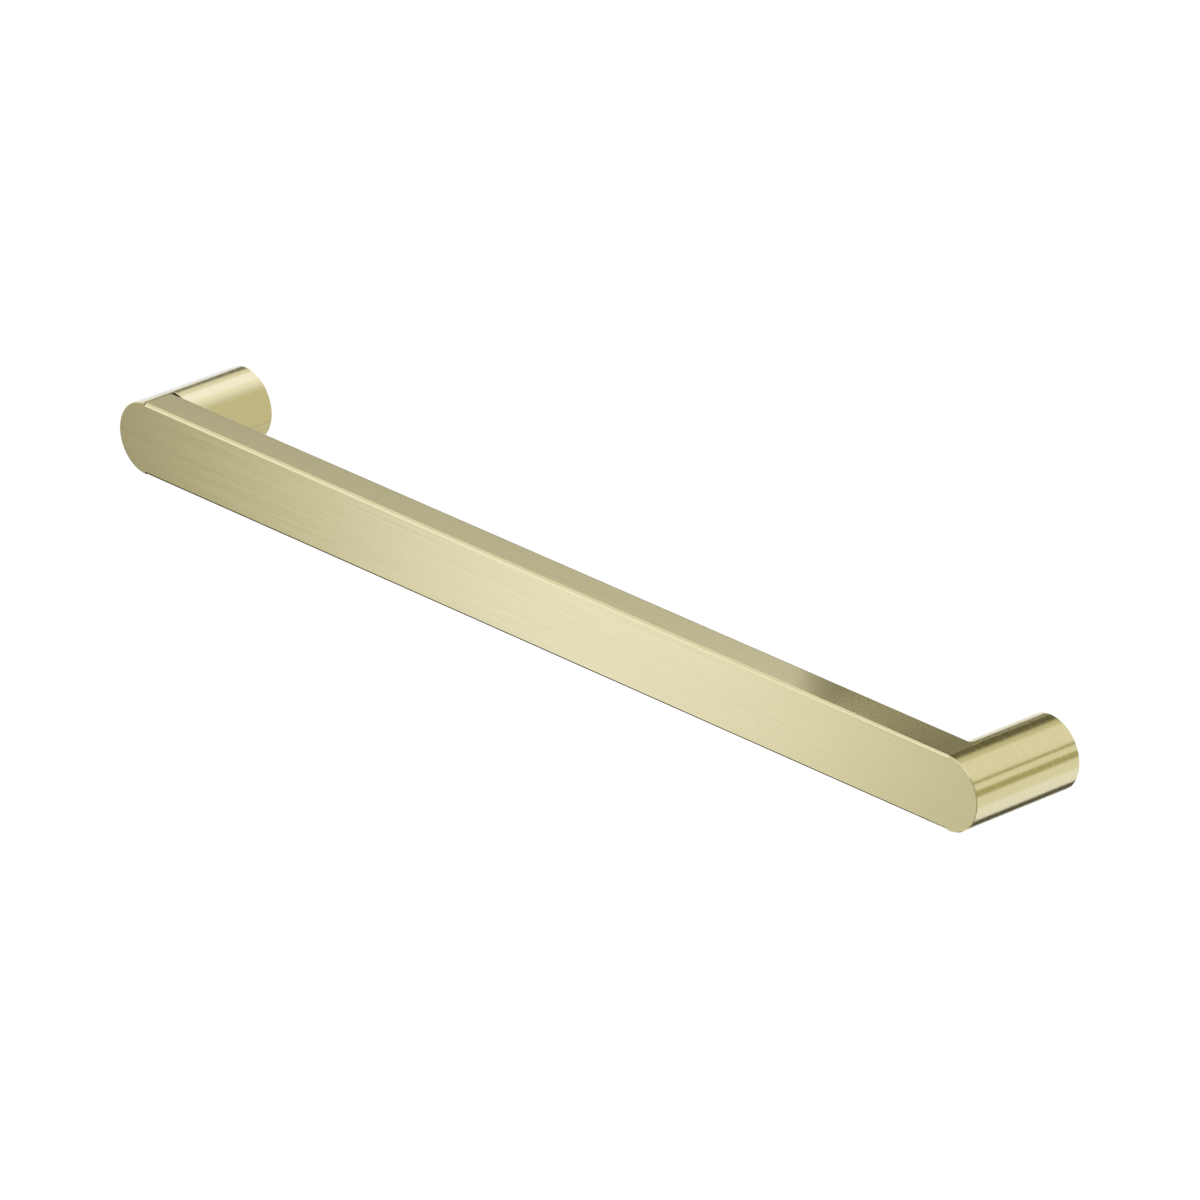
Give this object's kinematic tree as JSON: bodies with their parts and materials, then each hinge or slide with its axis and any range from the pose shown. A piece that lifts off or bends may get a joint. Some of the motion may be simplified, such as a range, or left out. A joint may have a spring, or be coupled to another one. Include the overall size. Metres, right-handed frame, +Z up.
{
  "type": "heated towel rail",
  "caption": "Wall-mounted electric heated towel rail: one flat warmed bar on two round posts, wired out of sight through a post.",
  "frame": {"origin": "on the wall plane, midway between the two posts and level with their axes, at the centre of the wall fixing holes", "axes": "+X along the bar to the right seen from the front, +Y into the wall, +Z up; the front face looks along -Y"},
  "size_m": [0.632, 0.07, 0.04],
  "materials": {
    "brushed_gold": "stainless steel with a pale gold coating, brushed along the bar and round the posts",
    "bracket_metal": "turned stainless steel",
    "screw_steel": "plain stainless steel",
    "plated_steel": "zinc plated",
    "terminal_brass": "plain brass",
    "tinned_copper": "tinned copper, dull silver",
    "seal_rubber": "matt black rubber",
    "silicone_white": "translucent white silicone",
    "silicone_red": "brick red silicone jacket",
    "terminal_nylon": "natural nylon",
    "cutout_case": "black heat-proof plastic",
    "sleeve_black": "shrunk black sleeve",
    "brown_insulation": "brown wire insulation",
    "blue_insulation": "blue wire insulation"
  },
  "bodies": {
    "root": {"rail_bar": "brushed_gold", "left_post": "brushed_gold", "right_post": "brushed_gold", "wall_brackets": "bracket_metal", "grub_screws": "screw_steel", "cable_grommet": "seal_rubber", "blanking_plug": "seal_rubber", "heating_element": "silicone_red", "element_end_cap": "silicone_red", "element_clips": "silicone_white", "element_joint": "sleeve_black", "thermal_cutout": "cutout_case", "cutout_holder": "silicone_white", "cutout_link": "brown_insulation", "lead_bush": "silicone_white", "line_lead": "brown_insulation", "neutral_lead": "blue_insulation", "lead_ferrules": "tinned_copper", "earth_clamp": "plated_steel", "earth_screw": "screw_steel", "terminal_carrier": "plated_steel", "terminal_block": "terminal_nylon", "terminal_cages": "terminal_brass", "terminal_screws": "plated_steel", "block_screw": "plated_steel"}
  },
  "joints": []
}
